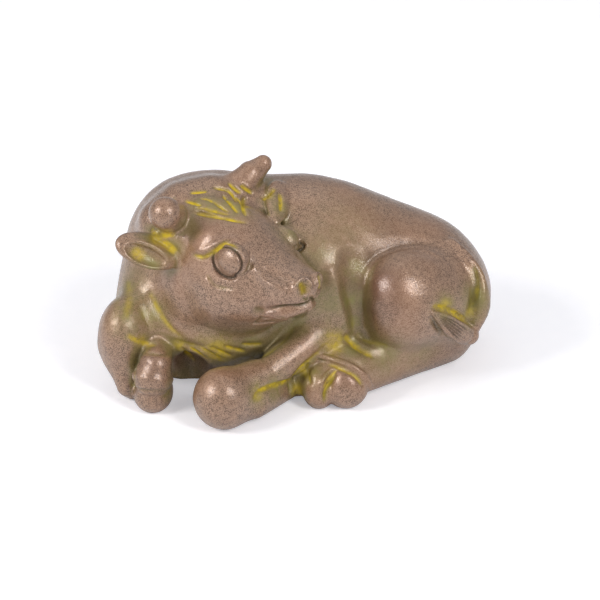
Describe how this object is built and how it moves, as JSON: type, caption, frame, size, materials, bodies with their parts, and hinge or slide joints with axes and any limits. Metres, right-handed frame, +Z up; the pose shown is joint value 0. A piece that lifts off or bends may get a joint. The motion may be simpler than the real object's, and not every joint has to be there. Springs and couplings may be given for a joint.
{
  "type": "ox figurine",
  "caption": "Small cast metal ox lying down with its legs folded under it and its head turned back over its left side",
  "frame": {"origin": "middle of the figure's box, on the surface it rests on", "axes": "+X runs from chest to rump, -Y is the ox's left side, which its head turns to, +Z is up"},
  "size_m": [0.0578, 0.04, 0.0316],
  "materials": {
    "patinated_brass": "brown patina with a fine grain, worn brighter on the high places, yellow-green pigment left in the carving"
  },
  "bodies": {
    "root": {"ox": "patinated_brass"}
  },
  "joints": []
}
